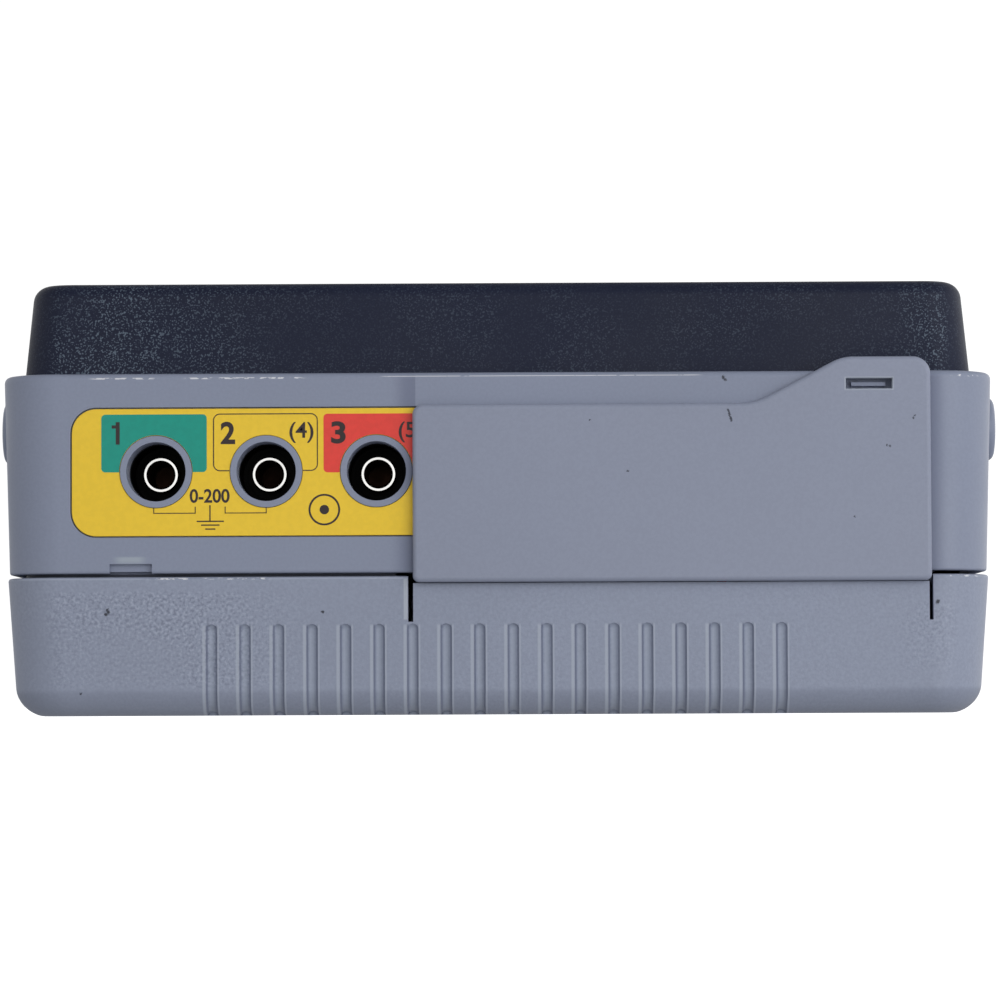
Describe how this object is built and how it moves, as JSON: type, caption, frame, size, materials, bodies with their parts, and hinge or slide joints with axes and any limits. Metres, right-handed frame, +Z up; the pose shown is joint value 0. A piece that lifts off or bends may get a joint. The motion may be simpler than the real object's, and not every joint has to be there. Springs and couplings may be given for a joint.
{
  "type": "ground resistance tester",
  "caption": "Hand-held ground resistance tester with a deep operating face, shrouded front terminals under a sliding shutter and side strap studs.",
  "frame": {"origin": "on the table under the middle of the case", "axes": "+Z up through the operating face, -Y towards the side with the measuring terminals, +X to the right seen from that side"},
  "size_m": [0.1688, 0.1068, 0.069],
  "materials": {
    "case_grey": "fine moulded grain, blue-grey",
    "case_dark": "leather grain, dark navy",
    "shutter_grey": "satin blue-grey",
    "label_yellow": "printed, semi-matt",
    "black_plastic": "moulded black",
    "knob_plastic": "fine matt",
    "white_plastic": "moulded white",
    "button_plastic": "semi-gloss amber",
    "lens": "clear",
    "lamp_green": "tinted",
    "panel_grey": "printed sheet",
    "contact_metal": "nickel plated",
    "screw_steel": "zinc plated",
    "brass": "plain",
    "board_green": "solder mask",
    "wire_red": "insulated lead",
    "cell_foil": "plain sleeve",
    "foam": "soft",
    "glass_tube": "clear"
  },
  "bodies": {
    "case": {"lower_case": "case_grey", "middle_case": "case_grey", "upper_case": "case_dark", "face_panel": "panel_grey", "display_window": "lens", "display_module": "black_plastic", "ok_lamp": "lamp_green", "range_switch": "black_plastic", "test_bezel": "case_dark", "test_guide": "panel_grey", "test_spring": "contact_metal", "test_switch": "black_plastic", "control_board": "board_green", "control_screws": "screw_steel", "board_link": "black_plastic", "terminal_label": "label_yellow", "terminal_block": "black_plastic", "terminal_tube_1": "contact_metal", "terminal_tube_2": "contact_metal", "terminal_tube_3": "contact_metal", "terminal_nuts": "brass", "terminal_leads": "wire_red", "main_board": "board_green", "board_screws": "screw_steel", "board_chips": "black_plastic", "board_capacitors": "black_plastic", "board_relays": "white_plastic", "board_transformer": "brass", "fuse": "glass_tube", "fuse_clips": "contact_metal", "battery_cells": "cell_foil", "battery_springs": "contact_metal", "battery_contacts": "contact_metal", "battery_leads": "wire_red", "case_screws": "screw_steel", "strap_stud_left": "case_grey", "strap_stud_right": "case_grey", "stud_screws": "screw_steel"},
    "knob": {"range_knob": "knob_plastic", "knob_pointer": "white_plastic", "switch_shaft": "contact_metal"},
    "plunger": {"test_plunger": "white_plastic"},
    "button": {"test_button": "button_plastic"},
    "shutter": {"terminal_shutter": "shutter_grey"},
    "door": {"battery_door": "case_grey", "door_pad": "foam", "door_screw": "screw_steel"}
  },
  "joints": [
    {"name": "range_turn", "type": "hinge", "parent": "case", "child": "knob", "pos_m": [0.038, -0.003, 0.06], "axis": [0, 0, -1], "range_deg": [0, 150]},
    {"name": "test_press", "type": "slide", "parent": "case", "child": "plunger", "axis": [0, 0, -1], "range_m": [0, 0.0025], "stiffness_N_per_m": 400, "springref_m": -0.001, "deforming": ["test_spring"]},
    {"name": "test_lock", "type": "hinge", "parent": "plunger", "child": "button", "pos_m": [-0.044, -0.025, 0.06], "axis": [0, 0, -1], "range_deg": [0, 60]},
    {"name": "shutter_slide", "type": "slide", "parent": "case", "child": "shutter", "axis": [-1, 0, 0], "range_m": [0, 0.056]},
    {"name": "door_tilt", "type": "hinge", "parent": "case", "child": "door", "pos_m": [0, -0.03035, 0.0002], "axis": [-1, 0, 0], "range_deg": [0, 20]}
  ]
}
